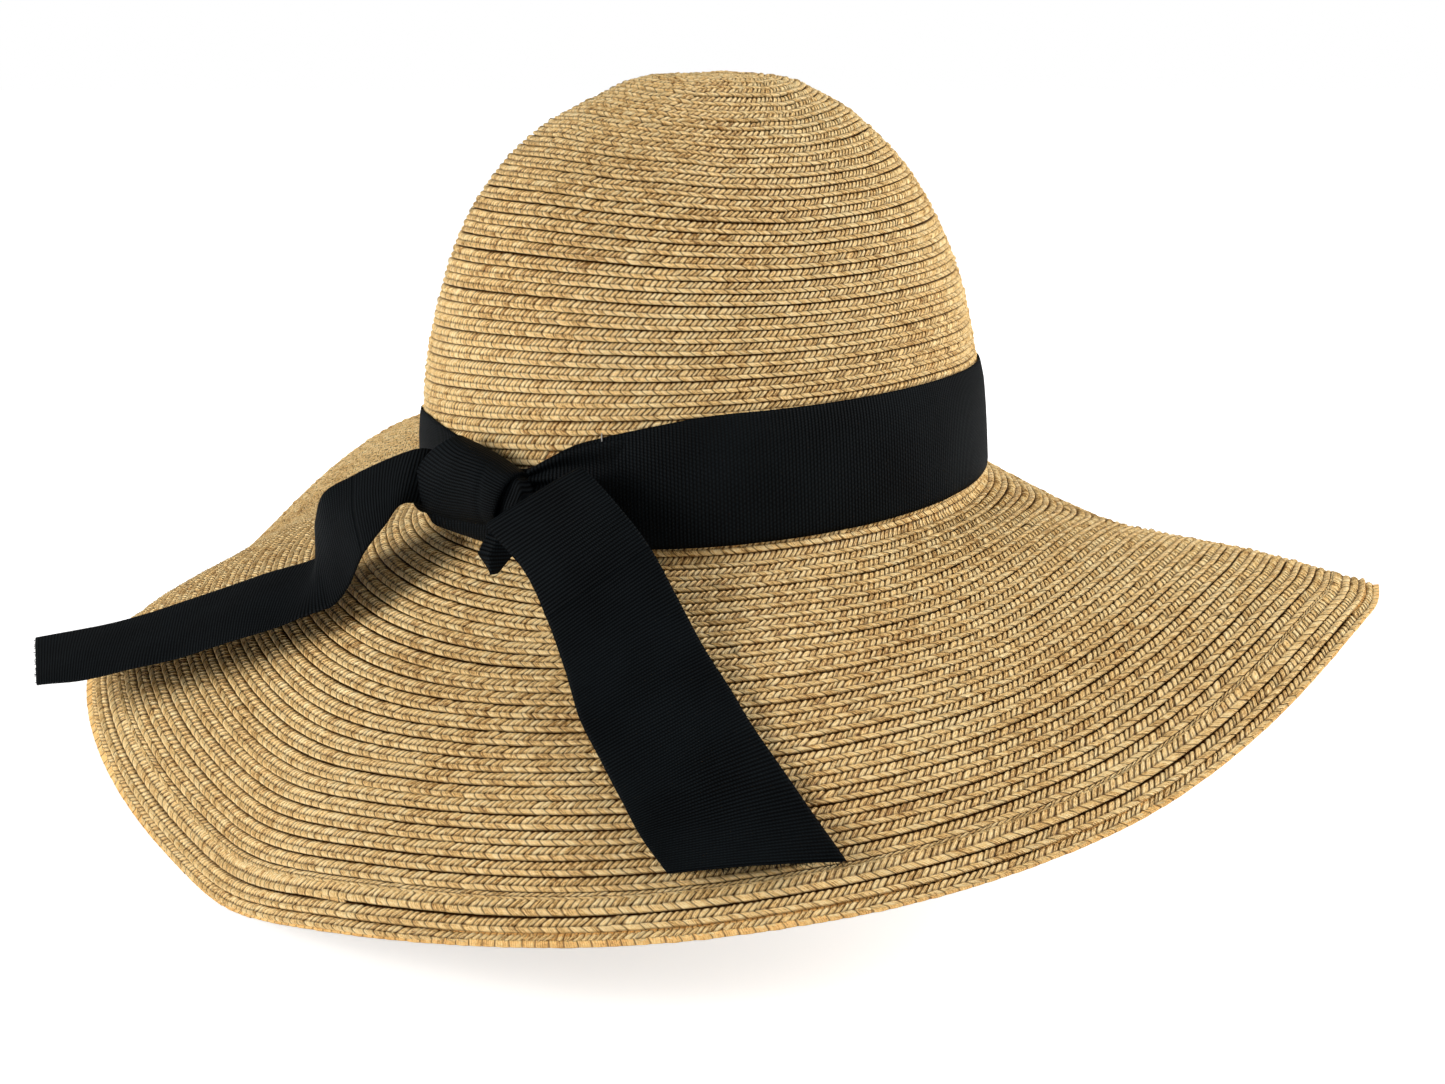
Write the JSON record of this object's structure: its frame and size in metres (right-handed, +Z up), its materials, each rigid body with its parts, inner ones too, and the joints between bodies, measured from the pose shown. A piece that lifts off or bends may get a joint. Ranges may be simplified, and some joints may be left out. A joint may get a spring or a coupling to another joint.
{
  "type": "straw sun hat",
  "caption": "Wide-brimmed sun hat of sewn straw braid with a knotted black ribbon; the side of the brim turns up and the ribbon tails lift.",
  "frame": {"origin": "middle of the box round the hat, at its lowest point, the underside of the rim it stands on", "axes": "+Z up through the crown, -Y the front, +X the wearer-side that turns up; the knot is at the front left"},
  "size_m": [0.4446, 0.435, 0.243],
  "materials": {
    "straw_braid": "woven, slight sheen",
    "straw_facing": "woven, slight sheen",
    "ribbon": "ribbed grosgrain, satin",
    "sweatband_tape": "matt twill",
    "cord": "braided cotton, matt",
    "thread": "spun thread",
    "rim_wire": "drawn",
    "ferrule": "satin",
    "tag_satin": "woven satin"
  },
  "bodies": {
    "hat": {"crown_braid": "straw_braid", "brim_braid": "straw_braid", "edge_braid": "straw_braid", "edge_facing_braid": "straw_facing", "rim_wire": "rim_wire", "wire_ferrule": "ferrule", "hat_band": "ribbon", "band_gather": "ribbon", "knot_wrap": "ribbon", "knot_core": "ribbon", "knot_fold_tip": "ribbon", "band_tack_front": "thread", "band_tack_right": "thread", "band_tack_back": "thread", "sweatband": "sweatband_tape", "sweatband_seam_thread": "thread", "drawcord": "cord", "drawcord_knot": "cord"},
    "brim_turnup": {"brim_turnup_braid": "straw_braid", "edge_turnup_braid": "straw_braid", "edge_turnup_facing": "straw_facing", "rim_wire_turnup": "rim_wire"},
    "left_tail": {"tail_left_root": "ribbon"},
    "left_tail_end": {"tail_left_end": "ribbon"},
    "right_tail": {"tail_right_root": "ribbon"},
    "right_tail_end": {"tail_right_end": "ribbon"},
    "cord_end_left": {"drawcord_end_left": "cord"},
    "cord_end_right": {"drawcord_end_right": "cord"},
    "size_tag_flap": {"size_tag": "tag_satin"}
  },
  "joints": [
    {"name": "brim_turn", "type": "hinge", "parent": "hat", "child": "brim_turnup", "pos_m": [0.14578, -0.00731, 0.10316], "axis": [0, -1, 0], "range_deg": [-7, 32], "stiffness_Nm_per_rad": 0.4},
    {"name": "left_tail_lift", "type": "hinge", "parent": "hat", "child": "left_tail", "pos_m": [-0.08322, -0.07331, 0.13031], "axis": [0, 1, 0], "range_deg": [-2, 60]},
    {"name": "left_tail_fold", "type": "hinge", "parent": "left_tail", "child": "left_tail_end", "pos_m": [-0.12222, -0.06131, 0.08281], "axis": [0.1417, 0.9069, 0.3968], "range_deg": [-2, 42]},
    {"name": "right_tail_lift", "type": "hinge", "parent": "hat", "child": "right_tail", "pos_m": [-0.04172, -0.10981, 0.12031], "axis": [-0.8464, 0.0876, -0.5253], "range_deg": [0, 60]},
    {"name": "right_tail_bend", "type": "hinge", "parent": "right_tail", "child": "right_tail_end", "pos_m": [-0.01172, -0.15131, 0.07681], "axis": [-0.8616, -0.32, -0.3939], "range_deg": [0, 50]},
    {"name": "cord_left_swing", "type": "hinge", "parent": "hat", "child": "cord_end_left", "pos_m": [-0.0008, 0.0768, 0.14725], "axis": [-0.9925, -0.1121, -0.0477], "range_deg": [0, 60]},
    {"name": "cord_right_swing", "type": "hinge", "parent": "hat", "child": "cord_end_right", "pos_m": [-0.00914, 0.07586, 0.14685], "axis": [-0.9925, -0.1121, -0.0477], "range_deg": [0, 60]},
    {"name": "size_tag_flip", "type": "hinge", "parent": "hat", "child": "size_tag_flap", "pos_m": [0.04539, 0.07011, 0.13277], "axis": [-0.8826, 0.4696, -0.0203], "range_deg": [0, 80]}
  ]
}
